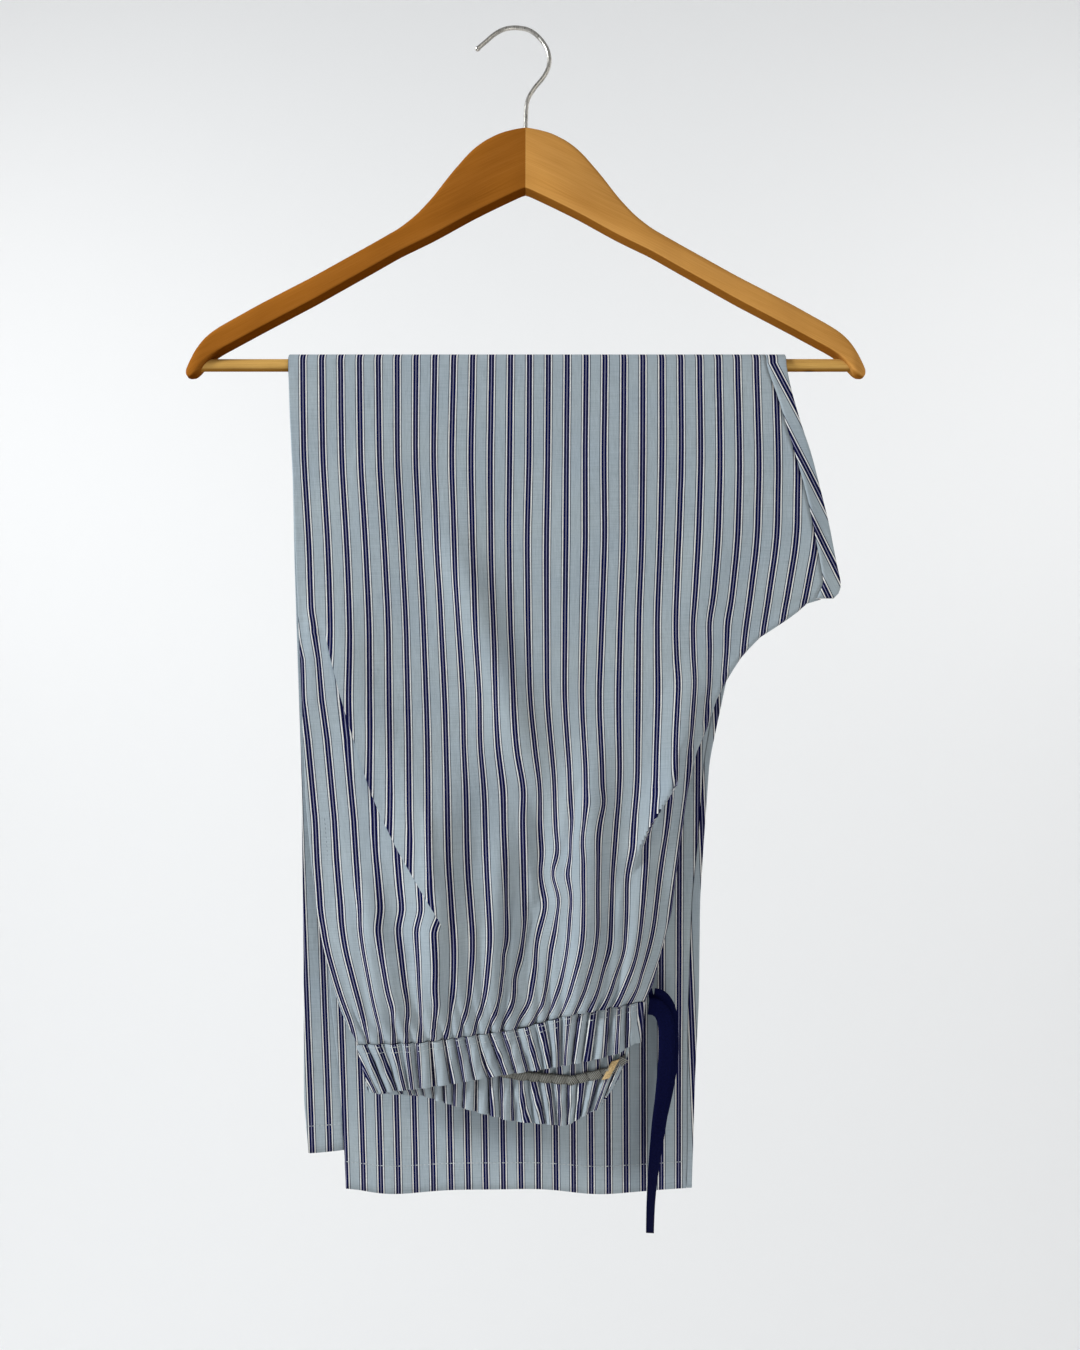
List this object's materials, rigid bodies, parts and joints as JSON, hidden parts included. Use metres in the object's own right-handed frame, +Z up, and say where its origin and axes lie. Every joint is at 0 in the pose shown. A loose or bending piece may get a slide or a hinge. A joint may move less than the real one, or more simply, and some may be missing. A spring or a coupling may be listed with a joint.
{
  "type": "pyjama trousers on a wooden hanger",
  "caption": "Striped cotton pyjama trousers with a gathered drawstring waist, folded in half lengthwise and hung over the bar of a wooden hanger.",
  "frame": {"origin": "inside top of the steel hook, where a nail or rail carries the hanger", "axes": "+Z up, the front with the waistband looks along -Y, +X to the right of a person facing the front"},
  "size_m": [0.4478, 0.0441, 0.7919],
  "materials": {
    "striped_cotton": "soft woven cotton with navy, white and slate stripes on blue grey",
    "navy_ribbon": "flat woven drawstring",
    "varnished_wood": "satin varnish over straight grain",
    "steel_wire": "plain bent wire",
    "beige_tape": "blank woven tab"
  },
  "bodies": {
    "root": {"hanger_arm_left": "varnished_wood", "hanger_arm_right": "varnished_wood", "hanger_bar": "varnished_wood", "hanger_hook": "steel_wire", "left_front_panel": "striped_cotton", "left_back_panel": "striped_cotton", "right_back_panel": "striped_cotton", "right_front_panel": "striped_cotton", "waistband_left_front": "striped_cotton", "waistband_left_back": "striped_cotton", "waistband_right_back": "striped_cotton", "waistband_right_front": "striped_cotton", "drawstring_long_end": "navy_ribbon", "drawstring_short_end": "navy_ribbon", "label_tab": "beige_tape"}
  },
  "joints": []
}
